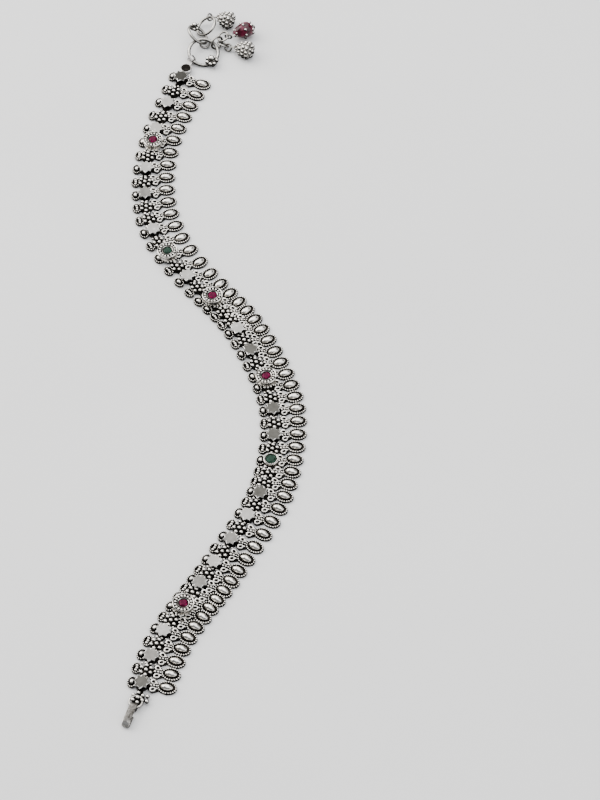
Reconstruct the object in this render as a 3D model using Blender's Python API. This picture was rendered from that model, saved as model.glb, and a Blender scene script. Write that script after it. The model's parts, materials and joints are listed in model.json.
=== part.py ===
"""An anklet of oxidised silver that lies open on a flat surface.

Fifty-four soldered links follow a double bend. Each has a beaded cup at its left edge, a top (a
granule flower, a flat star or a gem collar), a pair of petals and an oval drop at its right. A
folded hook hangs on a staple at one end, and rings with three charms hang at the other.
Lengths are in millimetres here and become metres when a mesh is made. +Z is up.
"""

import math
from collections import namedtuple

import bmesh
import bpy
import numpy as np
from mathutils import Matrix, Vector

MM = 0.001
GAP = 0.3

# The row of links, from the hook's end to the rings: place of a link, and the way to its drop.
Row = namedtuple("Row", "link x y swing")
ROUTE = [
    Row(0, -42.5, -110.5, -6),
    Row(4, -38.0, -94.0, -10),
    Row(7, -32.5, -83.5, -14),
    Row(10, -27.0, -75.0, -16),
    Row(13, -21.0, -64.8, -16),
    Row(17, -12.5, -49.5, -6),
    Row(21, -8.2, -35.0, 10),
    Row(25, -7.5, -17.5, 9),
    Row(29, -12.3, -1.0, 5),
    Row(33, -19.8, 14.0, 7),
    Row(37, -29.5, 26.0, 14),
    Row(41, -40.8, 42.5, 20),
    Row(45, -45.5, 60.5, 22),
    Row(50, -43.0, 85.5, 11),
    Row(54, -36.0, 106.0, -15),
]
LAST_LINK = 54
FIRST_OF_UPPER = 27
LINK_PITCH = 4.4
STAR_LINKS = {1, 3, 5, 10, 12, 14, 16, 18, 23, 25, 30, 32, 38, 42, 45, 47, 50, 52, 54}

# Each gem collar's place on the row, and how far it sits towards the drops.
Gem = namedtuple("Gem", "name link shift collar stone")
GEMS = [
    Gem("stone_red_1", 7.5, 0.5, "wide", "red"),
    Gem("stone_green_1", 21, 0.2, "narrow", "green"),
    Gem("stone_red_2", 27.5, 0.5, "wide", "red"),
    Gem("stone_red_3", 35.5, 0.6, "wide", "red"),
    Gem("stone_green_2", 40, 0.0, "wide", "green"),
    Gem("stone_red_4", 49, 0.5, "wide", "red"),
]

# One link, measured from its top's centre: x towards the drop, y along the row, z up.
TIE_HALF_WIDTH, TIE_TOP = 0.8, 0.7
# Where the bar begins and ends, counted in links.
TIE_START, TIE_END = -0.2, 54.95
CUP_X, CUP_Y, CUP_HALF_X, CUP_HALF_Y = -2.75, 0.3, 1.3, 1.7
CUP_HEIGHT, CUP_DOME_TOP, CUP_SIDES = 1.0, 1.7, 8
FLOWER_LOBE, FLOWER_NOTCH, FLOWER_LOBES = 2.0, 1.6, 6
FLOWER_SHOULDER, FLOWER_TOP = 1.35, 1.95
STAR_POINT, STAR_NOTCH, STAR_POINTS, STAR_TOP = 2.05, 1.7, 8, 2.6
SEAT_RADIUS, SEAT_SIDES, SEAT_TOP = 1.8, 10, 0.9
PETALS_HALF = [(1.3, 0.6), (2.9, 1.9), (4.4, 0.8)]
PETALS_TOP = 1.2
DROP_X, DROP_LENGTH, DROP_WIDTH, DROP_RIM_TOP = 6.7, 5.4, 3.95, 0.95
DOME_LENGTH, DOME_WIDTH, DOME_FOOT = 4.0, 2.8, 1.0
DOME_CROWN, DROP_TOP = 0.45, 1.95
DROP_SIDES = 10
# The end link has a pair of balls here in place of its petals.
END_PAIR_HALF = [(1.3, 0.8), (2.6, 1.5), (3.3, 0.9)]

# A gem collar turned about its axis, foot to rim to the floor of its pocket, and its cut stone.
Turn = namedtuple("Turn", "radius z")
COLLARS = {
    "wide": [
        Turn(2.35, 0.0),
        Turn(2.95, 2.0),
        Turn(2.95, 3.3),
        Turn(2.4, 3.5),
        Turn(1.65, 3.1),
        Turn(1.6, 2.1),
    ],
    "narrow": [
        Turn(1.85, 0.0),
        Turn(2.1, 1.4),
        Turn(2.1, 2.65),
        Turn(1.95, 2.8),
        Turn(1.78, 2.7),
        Turn(1.75, 1.6),
    ],
}
STONES = {
    "wide": [Turn(0.35, 2.4), Turn(1.35, 2.9), Turn(0.8, 3.35)],
    "narrow": [Turn(0.4, 1.9), Turn(1.5, 2.45), Turn(0.95, 2.95)],
}
COLLAR_SIDES, STONE_SIDES = 16, 10

# The hook at the low end: a strip folded under itself, whose eye is rolled round the staple's wire.
STAPLE_CENTRE, STAPLE_RADIUS = (-43.0, -111.7, 1.25), 1.75
STAPLE_WIRE, STAPLE_SEGMENTS = 0.33, 12
HOOK_ANGLE = 250
HOOK_WIDTH, HOOK_THICK, HOOK_EYE = 2.0, 0.45, 0.86
EYE_FROM, EYE_TO, EYE_STEPS = -150, 90, 10
# Away from the staple over the top, round the fold and back under, as (distance, height).
HOOK_LINE = [
    (2.4, 2.12),
    (4.0, 1.95),
    (5.2, 1.45),
    (5.75, 0.9),
    (5.5, 0.42),
    (4.9, 0.24),
    (2.3, 0.24),
]

# The tab at the high end: a disc on the tie's tongue, whose eye is rolled round ring_a.
TONGUE = 4.2
TAB_RADIUS, TAB_UNDERSIDE, TAB_TOP, TAB_SIDES = 1.75, 1.02, 1.7, 12
TAB_NECK_WIDTH, TAB_NECK_INSET = 1.7, 0.05
TAB_EYE_OUTER, TAB_EYE_INNER, TAB_EYE_SIDES = 1.2, 0.8, 12
TAB_ANGLE = 193

# Each ring's centre, and its plane: the ring is turned by tilt about its level diameter at azimuth.
Ring = namedtuple("Ring", "name x y z tilt azimuth radius wire segments")
RINGS = [
    Ring("ring_a", -29.3, 116.2, 1.72, 15, 24, 4.45, 0.5, 14),
    Ring("ring_b", -31.1, 122.3, 2.9, 39, 103.5, 3.4, 0.45, 14),
    Ring("ring_c", -28.6, 126.3, 2.45, 35, 272.6, 3.2, 0.45, 14),
    Ring("ring_inner", -29.0, 120.4, 1.25, 39.6, 1.3, 1.45, 0.3, 12),
    Ring("ring_charm", -25.25, 119.55, 2.27, 104, 217.6, 1.95, 0.35, 12),
]
# Rings that hang on another: the angle on it, and how far they swing out of its plane.
Hung = namedtuple("Hung", "name parent angle swing radius wire segments")
HUNG = [
    Hung("ring_bell", "ring_charm", 215, -90, 1.7, 0.3, 12),
    Hung("ring_red", "ring_charm", 160, 0, 1.7, 0.3, 12),
    Hung("loop_lower", "ring_bell", 335, 40, 1.1, 0.27, 12),
    Hung("loop_red", "ring_red", 55, 90, 1.0, 0.27, 12),
    Hung("loop_upper", "ring_c", 155, -90, 1.05, 0.27, 12),
]
HANG_GAP = 0.28
WIRE_SIDES = 5

# The granulated beads on two of the rings, each by its angle on the ring.
Bead = namedtuple("Bead", "ring angle radius lift")
BEADS = [Bead("ring_a", -78, 1.8, 1.26), Bead("ring_b", 5, 1.4, 0.0)]
BEAD_SIDES, BEAD_LEVELS = 10, 6

# The charms: from the loop's side to the far end, and the outline turned along that line.
Charm = namedtuple("Charm", "name loop start end outline")
BELL = [(0.0, 0.5), (0.12, 1.1), (0.4, 1.95), (0.75, 2.35), (0.92, 2.2), (1.0, 1.3)]
BERRY = [(0.0, 0.55), (0.15, 1.35), (0.4, 2.15), (0.65, 2.4), (0.85, 2.0), (1.0, 0.9)]
CHARMS = [
    Charm("bell_upper", "loop_upper", (-25.4, 130.1, 2.7), (-20.6, 128.1, 2.4), BELL),
    Charm("bead_red", "loop_red", (-20.3, 122.6, 2.9), (-14.4, 125.8, 2.45), BERRY),
    Charm("bell_lower", "loop_lower", (-19.8, 117.9, 2.2), (-14.6, 115.9, 2.4), BELL),
]
CHARM_SIDES, NECK_SIDES = 10, 6
NECK_FROM_RADIUS, NECK_TO_RADIUS, NECK_REACH = 0.3, 0.5, 0.2

SMOOTH_ANGLE = 40

SILVER = dict(colour=(0.62, 0.60, 0.57), roughness=0.3, metallic=1.0)
DARK_SILVER = dict(colour=(0.2, 0.2, 0.2), roughness=0.4, metallic=1.0)
RED_STONE = dict(colour=(0.35, 0.01, 0.08), roughness=0.05, metallic=0.0)
GREEN_STONE = dict(colour=(0.01, 0.2, 0.08), roughness=0.05, metallic=0.0)
RED_ENAMEL = dict(colour=(0.3, 0.01, 0.05), roughness=0.2, metallic=0.0)


def clear_scene():
    for obj in list(bpy.data.objects):
        bpy.data.objects.remove(obj, do_unlink=True)


def material(name, colour, roughness, metallic):
    made = bpy.data.materials.new(name)
    made.use_nodes = True
    shader = made.node_tree.nodes["Principled BSDF"]
    shader.inputs["Base Color"].default_value = (*colour, 1.0)
    shader.inputs["Roughness"].default_value = roughness
    shader.inputs["Metallic"].default_value = metallic
    made.diffuse_color = (*colour, 1.0)
    return made


def natural_spline(knots, values):
    """A function for the natural cubic spline through these values."""
    knots, values = np.array(knots, float), np.array(values, float)
    h = np.diff(knots)
    count = len(knots)
    matrix, right = np.eye(count), np.zeros(count)
    for i in range(1, count - 1):
        matrix[i, i - 1 : i + 2] = h[i - 1], 2 * (h[i - 1] + h[i]), h[i]
        right[i] = 6 * ((values[i + 1] - values[i]) / h[i] - (values[i] - values[i - 1]) / h[i - 1])
    bend = np.linalg.solve(matrix, right)

    def at(t):
        i = int(np.clip(np.searchsorted(knots, t) - 1, 0, count - 2))
        a, b = (knots[i + 1] - t) / h[i], (t - knots[i]) / h[i]
        curve = ((a**3 - a) * bend[i] + (b**3 - b) * bend[i + 1]) * h[i] ** 2 / 6
        return float(a * values[i] + b * values[i + 1] + curve)

    return at


LINKS = [row.link for row in ROUTE]
route_x = natural_spline(LINKS, [row.x for row in ROUTE])
route_y = natural_spline(LINKS, [row.y for row in ROUTE])
route_swing = natural_spline(LINKS, [row.swing for row in ROUTE])


def heading(link):
    """The way the row runs at a link."""
    step = 0.05
    across = route_x(link + step) - route_x(link - step)
    along = route_y(link + step) - route_y(link - step)
    return Vector((across, along, 0)).normalized()


def square_turn(link):
    """The turn that sets x square to the row and y along it."""
    ahead = heading(link)
    return Matrix.Rotation(math.atan2(-ahead.x, ahead.y), 4, "Z")


def link_place(link):
    return Matrix.Translation((route_x(link), route_y(link), 0))


def link_frame(link):
    """The frame of a link's top and cup."""
    return link_place(link) @ square_turn(link)


def petals_frame(link):
    """The frame of a link's petals: x runs to the middle of its drop."""
    return link_place(link) @ Matrix.Rotation(math.radians(route_swing(link)), 4, "Z")


def drop_frame(link):
    """The frame of a link's drop, about the middle of the drop."""
    middle = petals_frame(link) @ Vector((DROP_X, 0, 0))
    return Matrix.Translation(middle) @ square_turn(link)


def loft(rings, frame=None, closed=False):
    """A closed mesh through rings of points, capped at both ends, or joined end to start.

    A last ring of one point is an apex.
    """
    frame = frame or Matrix()
    mesh = bmesh.new()
    made = [[mesh.verts.new(frame @ Vector(p)) for p in ring] for ring in rings]
    pairs = list(zip(made, made[1:] + made[:1] if closed else made[1:]))
    for low, high in pairs:
        for i in range(len(low)):
            j = (i + 1) % len(low)
            top = (high[0],) if len(high) == 1 else (high[j], high[i])
            mesh.faces.new((low[i], low[j], *top))
    if not closed:
        mesh.faces.new(list(reversed(made[0])))
        if len(made[-1]) > 1:
            mesh.faces.new(made[-1])
    bmesh.ops.recalc_face_normals(mesh, faces=mesh.faces)
    return mesh


def oval(count, half_x, half_y, z, x=0.0, y=0.0, notch=1.0):
    """Points round an oval, every other one drawn in by the notch."""
    points = []
    for i in range(count):
        turn = 2 * math.pi * i / count
        scale = 1.0 if i % 2 == 0 else notch
        across, along = half_x * scale * math.cos(turn), half_y * scale * math.sin(turn)
        points.append((x + across, y + along, z))
    return points


def turned(profile, sides):
    return [oval(sides, turn.radius, turn.radius, turn.z) for turn in profile]


def cup():
    rim = [oval(CUP_SIDES, CUP_HALF_X, CUP_HALF_Y, z, CUP_X, CUP_Y) for z in (0.0, CUP_HEIGHT)]
    return rim + [[(CUP_X, CUP_Y, CUP_DOME_TOP)]]


def flower():
    sides, notch = 2 * FLOWER_LOBES, FLOWER_NOTCH / FLOWER_LOBE
    levels = (0.0, FLOWER_SHOULDER)
    walls = [oval(sides, FLOWER_LOBE, FLOWER_LOBE, z, notch=notch) for z in levels]
    return walls + [[(0.0, 0.0, FLOWER_TOP)]]


def star():
    sides, notch = 2 * STAR_POINTS, STAR_NOTCH / STAR_POINT
    return [oval(sides, STAR_POINT, STAR_POINT, z, notch=notch) for z in (0.0, STAR_TOP)]


def seat():
    return [oval(SEAT_SIDES, SEAT_RADIUS, SEAT_RADIUS, z) for z in (0.0, SEAT_TOP)]


def petals(half):
    outline = [(x, -y) for x, y in half] + [(x, y) for x, y in reversed(half)]
    return [[(x, y, z) for x, y in outline] for z in (0.0, PETALS_TOP)]


def drop():
    levels = [
        (DROP_LENGTH, DROP_WIDTH, 0.0),
        (DROP_LENGTH, DROP_WIDTH, DROP_RIM_TOP),
        (DOME_LENGTH, DOME_WIDTH, DOME_FOOT),
        (DOME_LENGTH * DOME_CROWN, DOME_WIDTH * DOME_CROWN, DROP_TOP),
    ]
    return [oval(DROP_SIDES, length / 2, width / 2, z) for length, width, z in levels]


def tie(first, last):
    """The bar under the tops from one place on the row to another."""
    ends = [Vector((route_x(stop), route_y(stop), 0)) for stop in (first, last)]
    side = (ends[1] - ends[0]).normalized().cross(Vector((0, 0, 1))) * TIE_HALF_WIDTH
    outline = [ends[0] - side, ends[0] + side, ends[1] + side, ends[1] - side]
    return [[corner + Vector((0, 0, z)) for corner in outline] for z in (0.0, TIE_TOP)]


def ring_axes(tilt, azimuth):
    """A ring's level axis and its rising one."""
    t, a = math.radians(tilt), math.radians(azimuth)
    level = Vector((math.cos(a), math.sin(a), 0))
    rising = Vector((-math.sin(a) * math.cos(t), math.cos(a) * math.cos(t), math.sin(t)))
    return level, rising


class Hoop:
    """A round wire: its centre, two axes in its plane, its radius and its wire's radius."""

    def __init__(self, centre, level, rising, radius, wire, segments):
        self.centre, self.level, self.rising = Vector(centre), level, rising
        self.radius, self.wire, self.segments = radius, wire, segments

    def outward(self, degrees):
        turn = math.radians(degrees)
        return self.level * math.cos(turn) + self.rising * math.sin(turn)

    def along(self, degrees):
        return self.outward(degrees + 90)

    def point(self, degrees):
        return self.centre + self.outward(degrees) * self.radius

    def rings(self):
        normal = self.level.cross(self.rising)
        sections = []
        for i in range(self.segments):
            degrees = 360 * i / self.segments
            out, middle = self.outward(degrees), self.point(degrees)
            turns = [2 * math.pi * k / WIRE_SIDES for k in range(WIRE_SIDES)]
            reach = [out * math.cos(t) + normal * math.sin(t) for t in turns]
            sections.append([middle + way * self.wire for way in reach])
        return sections


def all_hoops():
    hoops = {}
    for ring in RINGS:
        axes = ring_axes(ring.tilt, ring.azimuth)
        hoops[ring.name] = Hoop((ring.x, ring.y, ring.z), *axes, ring.radius, ring.wire, ring.segments)
    for hung in HUNG:
        parent = hoops[hung.parent]
        swing = math.radians(hung.swing)
        normal = parent.level.cross(parent.rising)
        away = parent.outward(hung.angle) * math.cos(swing) + normal * math.sin(swing)
        reach = hung.radius - hung.wire - parent.wire - HANG_GAP
        centre = parent.point(hung.angle) + away * reach
        across = parent.along(hung.angle).cross(away)
        hoops[hung.name] = Hoop(centre, away, across, hung.radius, hung.wire, hung.segments)
    return hoops


def turned_along(start, end, outline, sides):
    """Rings round the line from start to end, for an outline of (share of the length, radius)."""
    start, end = Vector(start), Vector(end)
    line = end - start
    side = line.cross(Vector((0, 0, 1))).normalized()
    other = side.cross(line).normalized()
    rings = []
    for share, radius in outline:
        turns = [2 * math.pi * (k + 0.5) / sides for k in range(sides)]
        middle = start + line * share
        rings.append([middle + (side * math.cos(t) + other * math.sin(t)) * radius for t in turns])
    return rings


def ball(centre, radius):
    """Level rings of points up a ball."""
    centre = Vector(centre)
    rings = []
    for k in range(BEAD_LEVELS):
        turn = math.pi * (k + 0.5) / BEAD_LEVELS
        reach = radius * math.sin(turn)
        level = oval(BEAD_SIDES, reach, reach, -radius * math.cos(turn))
        rings.append([centre + Vector(p) for p in level])
    return rings


def tube_eye(centre, axis, outer, inner, width, sides):
    """A short tube round a wire, as a closed loop of square sections."""
    axis = axis.normalized()
    up = Vector((0, 0, 1)) - axis * axis.z
    up.normalize()
    across = axis.cross(up)
    sections = []
    for k in range(sides):
        turn = 2 * math.pi * k / sides
        out = across * math.cos(turn) + up * math.sin(turn)
        corners = [(inner, -0.5), (outer, -0.5), (outer, 0.5), (inner, 0.5)]
        sections.append([Vector(centre) + out * r + axis * width * w for r, w in corners])
    return sections


def strip(line, width, thick, origin, direction):
    """A flat strip bent along a line of (distance, height), set upright along a direction."""
    points = [Vector((s, z)) for s, z in line]
    left, right = [], []
    for i, point in enumerate(points):
        before, after = points[max(i - 1, 0)], points[min(i + 1, len(points) - 1)]
        run = (after - before).normalized()
        side = Vector((-run.y, run.x)) * thick / 2
        left.append(point + side)
        right.append(point - side)
    across = direction.cross(Vector((0, 0, 1))) * width / 2
    middle = [Vector(origin) + direction * p.x + Vector((0, 0, p.y)) for p in left + right[::-1]]
    return [[p - across for p in middle], [p + across for p in middle]]


def to_data(name, mesh):
    for vert in mesh.verts:
        vert.co *= MM
    data = bpy.data.meshes.new(name)
    mesh.to_mesh(data)
    mesh.free()
    return data


def to_object(name, data, finish=None):
    obj = bpy.data.objects.new(name, data)
    bpy.context.scene.collection.objects.link(obj)
    if finish:
        data.materials.clear()
        data.materials.append(finish)
        data.shade_smooth()
        data.set_sharp_from_angle(angle=math.radians(SMOOTH_ANGLE))
    return obj


def fused(name, meshes, finish):
    """One body from overlapping closed meshes, by a Boolean union."""
    helpers = bpy.data.collections.new(name + "_pieces")
    bpy.context.scene.collection.children.link(helpers)
    pieces = [to_object(f"{name}_piece", to_data(name, mesh)) for mesh in meshes]
    base = pieces[0]
    for piece in pieces[1:]:
        bpy.context.scene.collection.objects.unlink(piece)
        helpers.objects.link(piece)
    union = base.modifiers.new("union", "BOOLEAN")
    union.operation = "UNION"
    union.operand_type = "COLLECTION"
    union.collection = helpers
    graph = bpy.context.evaluated_depsgraph_get()
    data = bpy.data.meshes.new_from_object(base.evaluated_get(graph))
    for piece in pieces:
        bpy.data.objects.remove(piece, do_unlink=True)
    bpy.data.collections.remove(helpers)
    return to_object(name, data, finish)


def gem_links():
    """Links whose flower gives way to a gem collar."""
    covered = set()
    for gem in GEMS:
        covered |= {math.floor(gem.link), math.ceil(gem.link)}
    return covered


def link_pieces(link):
    """The solids of one link. The end link has a pair of balls in place of cup, petals and drop."""
    if link in STAR_LINKS:
        top = star()
    elif link in gem_links():
        top = seat()
    else:
        top = flower()
    pieces = [loft(top, link_frame(link))]
    if link > 0:
        pieces.append(loft(cup(), link_frame(link)))
        pieces.append(loft(petals(PETALS_HALF), petals_frame(link)))
        pieces.append(loft(drop(), drop_frame(link)))
    else:
        pieces.append(loft(petals(END_PAIR_HALF), petals_frame(link)))
    return pieces


def gem_frame(gem):
    return link_frame(gem.link) @ Matrix.Translation((gem.shift, 0, 0))


def staple():
    axes = ring_axes(0, 0)
    return Hoop(STAPLE_CENTRE, *axes, STAPLE_RADIUS, STAPLE_WIRE, STAPLE_SEGMENTS)


def make_band(name, first, last, tie_from, tie_to, finish):
    stops = [tie_from] + list(range(first, last + 1)) + [tie_to]
    meshes = [loft(tie(*pair)) for pair in zip(stops, stops[1:])]
    for link in range(first, last + 1):
        meshes += link_pieces(link)
    for gem in GEMS:
        if first <= gem.link <= last:
            collar = turned(COLLARS[gem.collar], COLLAR_SIDES)
            meshes.append(loft(collar, gem_frame(gem)))
    if first == 0:
        meshes.append(loft(staple().rings(), closed=True))
    return fused(name, meshes, finish)


def make_hook(finish):
    wire = staple()
    centre = wire.point(HOOK_ANGLE)
    direction = wire.outward(HOOK_ANGLE)
    eye = []
    for k in range(EYE_STEPS + 1):
        turn = math.radians(EYE_FROM + (EYE_TO - EYE_FROM) * k / EYE_STEPS)
        eye.append((-HOOK_EYE * math.cos(turn), HOOK_EYE * math.sin(turn)))
    line = eye + [(s, z - centre.z) for s, z in HOOK_LINE]
    mesh = loft(strip(line, HOOK_WIDTH, HOOK_THICK, centre, direction))
    return to_object("hook", to_data("hook", mesh), finish)


def make_tab(ring, finish):
    end = Vector((route_x(LAST_LINK), route_y(LAST_LINK), 0))
    centre = end + heading(LAST_LINK) * TONGUE
    levels = [oval(TAB_SIDES, TAB_RADIUS, TAB_RADIUS, z) for z in (TAB_UNDERSIDE, TAB_TOP)]
    disc = loft(levels, Matrix.Translation(centre))
    eye, wire = ring.point(TAB_ANGLE), ring.along(TAB_ANGLE)
    tube = tube_eye(eye, wire, TAB_EYE_OUTER, TAB_EYE_INNER, TAB_NECK_WIDTH, TAB_EYE_SIDES)
    toward = Vector((eye.x, eye.y, 0)) - centre
    reach = toward.length - (TAB_EYE_OUTER + TAB_EYE_INNER) / 2
    toward.normalize()
    side = toward.cross(Vector((0, 0, 1))) * TAB_NECK_WIDTH / 2
    neck = []
    for z in (TAB_UNDERSIDE + TAB_NECK_INSET, TAB_TOP - TAB_NECK_INSET):
        up = Vector((0, 0, z))
        near, far = centre + up, centre + toward * reach + up
        neck.append([near + side, far + side, far - side, near - side])
    return fused("end_tab", [disc, loft(tube, closed=True), loft(neck)], finish)


def make_rings(hoops, finish):
    beads = {bead.ring: bead for bead in BEADS}
    for name, hoop in hoops.items():
        if not name.startswith("ring"):
            continue
        wire = loft(hoop.rings(), closed=True)
        if name in beads:
            bead = beads[name]
            centre = hoop.point(bead.angle) + Vector((0, 0, bead.lift))
            fused(name, [wire, loft(ball(centre, bead.radius))], finish)
        else:
            to_object(name, to_data(name, wire), finish)


def make_charms(hoops, silver, enamel):
    for charm in CHARMS:
        hoop = hoops[charm.loop]
        start, end = Vector(charm.start), Vector(charm.end)
        normal = hoop.level.cross(hoop.rising)
        toward = start - hoop.centre
        in_plane = (toward - normal * toward.dot(normal)).normalized()
        root = hoop.centre + in_plane * hoop.radius
        inside = start + (end - start) * NECK_REACH
        neck_outline = [(0, NECK_FROM_RADIUS), (1, NECK_TO_RADIUS)]
        neck = turned_along(root, inside, neck_outline, NECK_SIDES)
        body = turned_along(start, end, charm.outline, CHARM_SIDES)
        finish = enamel if charm.name == "bead_red" else silver
        fused(charm.name, [loft(body), loft(hoop.rings(), closed=True), loft(neck)], finish)


def make_stones(finishes):
    """Cut stones, each placed in its collar. Those of one cut and colour share a mesh."""
    cuts = {}
    for gem in GEMS:
        cut = (gem.collar, gem.stone)
        if cut not in cuts:
            mesh = loft(turned(STONES[gem.collar], STONE_SIDES))
            cuts[cut] = to_data(f"{gem.stone}_{gem.collar}", mesh)
        stone = to_object(gem.name, cuts[cut], finishes[gem.stone])
        place = gem_frame(gem)
        place.translation *= MM
        stone.matrix_world = place


def centre_on_origin():
    """Hangs each piece on one empty, moved so that the origin is under the middle of the box."""
    bpy.context.view_layer.update()
    pieces = [obj for obj in bpy.data.objects if obj.type == "MESH"]
    corners = np.array([piece.matrix_world @ v.co for piece in pieces for v in piece.data.vertices])
    low, high = corners.min(axis=0), corners.max(axis=0)
    anklet = bpy.data.objects.new("anklet", None)
    bpy.context.scene.collection.objects.link(anklet)
    anklet.location = (-(low[0] + high[0]) / 2, -(low[1] + high[1]) / 2, -low[2])
    for piece in pieces:
        piece.parent = anklet


def main():
    clear_scene()
    silver = material("silver", **SILVER)
    dark = material("dark_silver", **DARK_SILVER)
    finishes = {
        "red": material("red_stone", **RED_STONE),
        "green": material("green_stone", **GREEN_STONE),
    }
    enamel = material("red_enamel", **RED_ENAMEL)
    hoops = all_hoops()
    half_gap = GAP / 2 / LINK_PITCH
    meeting = FIRST_OF_UPPER - 0.5
    make_band("band_lower", 0, FIRST_OF_UPPER - 1, TIE_START, meeting - half_gap, silver)
    make_band("band_upper", FIRST_OF_UPPER, LAST_LINK, meeting + half_gap, TIE_END, silver)
    make_stones(finishes)
    make_hook(silver)
    make_tab(hoops["ring_a"], dark)
    make_rings(hoops, silver)
    make_charms(hoops, silver, enamel)
    centre_on_origin()


main()
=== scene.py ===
"""The looks of an open anklet of oxidised silver, lying on a pale floor in soft studio light.

Each link has a beaded cup with a polished dome at its left, a top (a flower of balls, a flat star
or a gem collar), a pair of pitted petals and an oval drop with a beaded border at its right. A
folded hook hangs on a staple at one end, and rings with three charms at the other. The shapes are
worked out in millimetres in the frame of one link, and placed in metres along the same row as the
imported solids.
"""

import json
import math
from collections import namedtuple

import bpy
import numpy as np
from mathutils import Matrix, Vector

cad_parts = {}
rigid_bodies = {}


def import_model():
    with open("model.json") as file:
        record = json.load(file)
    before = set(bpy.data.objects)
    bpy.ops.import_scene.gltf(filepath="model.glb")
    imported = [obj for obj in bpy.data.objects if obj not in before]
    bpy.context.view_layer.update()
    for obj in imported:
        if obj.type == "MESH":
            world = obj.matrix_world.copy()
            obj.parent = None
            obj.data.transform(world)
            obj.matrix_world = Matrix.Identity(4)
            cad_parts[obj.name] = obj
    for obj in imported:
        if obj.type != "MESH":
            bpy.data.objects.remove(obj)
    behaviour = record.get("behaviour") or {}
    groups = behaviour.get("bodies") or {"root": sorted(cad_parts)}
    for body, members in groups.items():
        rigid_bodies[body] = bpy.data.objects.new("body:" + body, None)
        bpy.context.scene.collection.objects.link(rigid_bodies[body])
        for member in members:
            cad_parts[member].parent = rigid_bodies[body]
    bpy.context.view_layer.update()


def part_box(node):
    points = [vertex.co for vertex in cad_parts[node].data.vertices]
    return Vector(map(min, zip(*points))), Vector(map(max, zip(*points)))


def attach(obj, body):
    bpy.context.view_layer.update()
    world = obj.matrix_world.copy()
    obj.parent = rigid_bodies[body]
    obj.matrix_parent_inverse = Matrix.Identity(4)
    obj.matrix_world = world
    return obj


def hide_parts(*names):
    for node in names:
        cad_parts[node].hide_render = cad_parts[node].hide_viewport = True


MM = 0.001
SEED = 7

# The row of links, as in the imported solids: place of a link, and the way to its drop.
Row = namedtuple("Row", "link x y swing")
ROUTE = [
    Row(0, -42.5, -110.5, -6),
    Row(4, -38.0, -94.0, -10),
    Row(7, -32.5, -83.5, -14),
    Row(10, -27.0, -75.0, -16),
    Row(13, -21.0, -64.8, -16),
    Row(17, -12.5, -49.5, -6),
    Row(21, -8.2, -35.0, 10),
    Row(25, -7.5, -17.5, 9),
    Row(29, -12.3, -1.0, 5),
    Row(33, -19.8, 14.0, 7),
    Row(37, -29.5, 26.0, 14),
    Row(41, -40.8, 42.5, 20),
    Row(45, -45.5, 60.5, 22),
    Row(50, -43.0, 85.5, 11),
    Row(54, -36.0, 106.0, -15),
]
LAST_LINK = 54
FIRST_OF_UPPER = 27
# Where the bars under the tops start and end, and half of the gap between the halves, in links.
TIE_START, TIE_END, TIE_HALF_GAP = -0.2, 54.95, 0.034
STAR_LINKS = {1, 3, 5, 10, 12, 14, 16, 18, 23, 25, 30, 32, 38, 42, 45, 47, 50, 52, 54}

Gem = namedtuple("Gem", "name link shift collar stone")
GEMS = [
    Gem("stone_red_1", 7.5, 0.5, "wide", "red"),
    Gem("stone_green_1", 21, 0.2, "narrow", "green"),
    Gem("stone_red_2", 27.5, 0.5, "wide", "red"),
    Gem("stone_red_3", 35.5, 0.6, "wide", "red"),
    Gem("stone_green_2", 40, 0.0, "wide", "green"),
    Gem("stone_red_4", 49, 0.5, "wide", "red"),
]

# The camera: above the surface and in front of it, looking down at the photograph's angle.
CAMERA_HEIGHT = 725.2
CAMERA_BACK = 540.0
CAMERA_DOWN = 54
FOCAL_PIXELS = 3197
IMAGE_HEIGHT = 800
SENSOR = 36.0


# Splines and frames along the row


def natural_spline(knots, values):
    """A function for the natural cubic spline through these values."""
    knots, values = np.array(knots, float), np.array(values, float)
    h = np.diff(knots)
    count = len(knots)
    matrix, right = np.eye(count), np.zeros(count)
    for i in range(1, count - 1):
        matrix[i, i - 1 : i + 2] = h[i - 1], 2 * (h[i - 1] + h[i]), h[i]
        right[i] = 6 * ((values[i + 1] - values[i]) / h[i] - (values[i] - values[i - 1]) / h[i - 1])
    bend = np.linalg.solve(matrix, right)

    def at(t):
        i = int(np.clip(np.searchsorted(knots, t) - 1, 0, count - 2))
        a, b = (knots[i + 1] - t) / h[i], (t - knots[i]) / h[i]
        curve = ((a**3 - a) * bend[i] + (b**3 - b) * bend[i + 1]) * h[i] ** 2 / 6
        return float(a * values[i] + b * values[i + 1] + curve)

    return at


LINKS = [row.link for row in ROUTE]
route_x = natural_spline(LINKS, [row.x for row in ROUTE])
route_y = natural_spline(LINKS, [row.y for row in ROUTE])
route_swing = natural_spline(LINKS, [row.swing for row in ROUTE])


def gem_frame(gem):
    return link_frame(gem.link) @ Matrix.Translation((gem.shift, 0, 0))


def heading(link):
    step = 0.05
    across = route_x(link + step) - route_x(link - step)
    along = route_y(link + step) - route_y(link - step)
    return Vector((across, along, 0)).normalized()


def square_turn(link):
    """The turn that sets x square to the row and y along it."""
    ahead = heading(link)
    return Matrix.Rotation(math.atan2(-ahead.x, ahead.y), 4, "Z")


def link_place(link):
    return Matrix.Translation((route_x(link), route_y(link), 0))


def link_frame(link):
    """The frame of a link's top and cup."""
    return link_place(link) @ square_turn(link)


def petals_frame(link):
    """The frame of a link's petals: x runs to the middle of its drop."""
    return link_place(link) @ Matrix.Rotation(math.radians(route_swing(link)), 4, "Z")


def drop_frame(link):
    """The frame of a link's drop, about the middle of the drop."""
    middle = petals_frame(link) @ Vector((DROP_X, 0, 0))
    return Matrix.Translation(middle) @ square_turn(link)


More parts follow.
